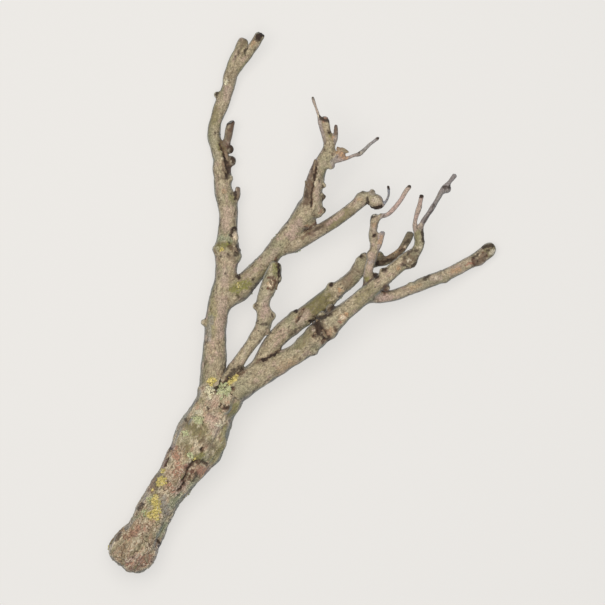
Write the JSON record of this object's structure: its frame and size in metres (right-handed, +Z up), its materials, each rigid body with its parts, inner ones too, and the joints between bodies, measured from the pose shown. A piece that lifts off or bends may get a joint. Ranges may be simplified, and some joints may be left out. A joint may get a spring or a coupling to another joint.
{
  "type": "fallen tree branch",
  "caption": "fallen fruit tree branch lying flat, with a thick rough butt, forked limbs, knots, spurs and thin shoots",
  "frame": {"origin": "on the ground, under the middle of the branch's box", "axes": "+Y runs along the branch's length towards the tips, +X is to the right as the branch is seen from above with its butt towards the viewer, +Z is up from the ground that it lies on"},
  "size_m": [0.3884, 0.5443, 0.0749],
  "materials": {
    "old_bark": "rough flaking bark with lichen",
    "limb_bark": "matte weathered bark",
    "young_bark": "matte smooth young bark"
  },
  "bodies": {
    "root": {"trunk": "old_bark", "left_limb": "limb_bark", "right_limb": "limb_bark", "middle_limb": "limb_bark", "middle_side_branch": "young_bark", "upper_right_limb": "limb_bark", "inner_branch": "limb_bark", "far_right_branch": "young_bark", "upright_twig": "young_bark"}
  },
  "joints": []
}
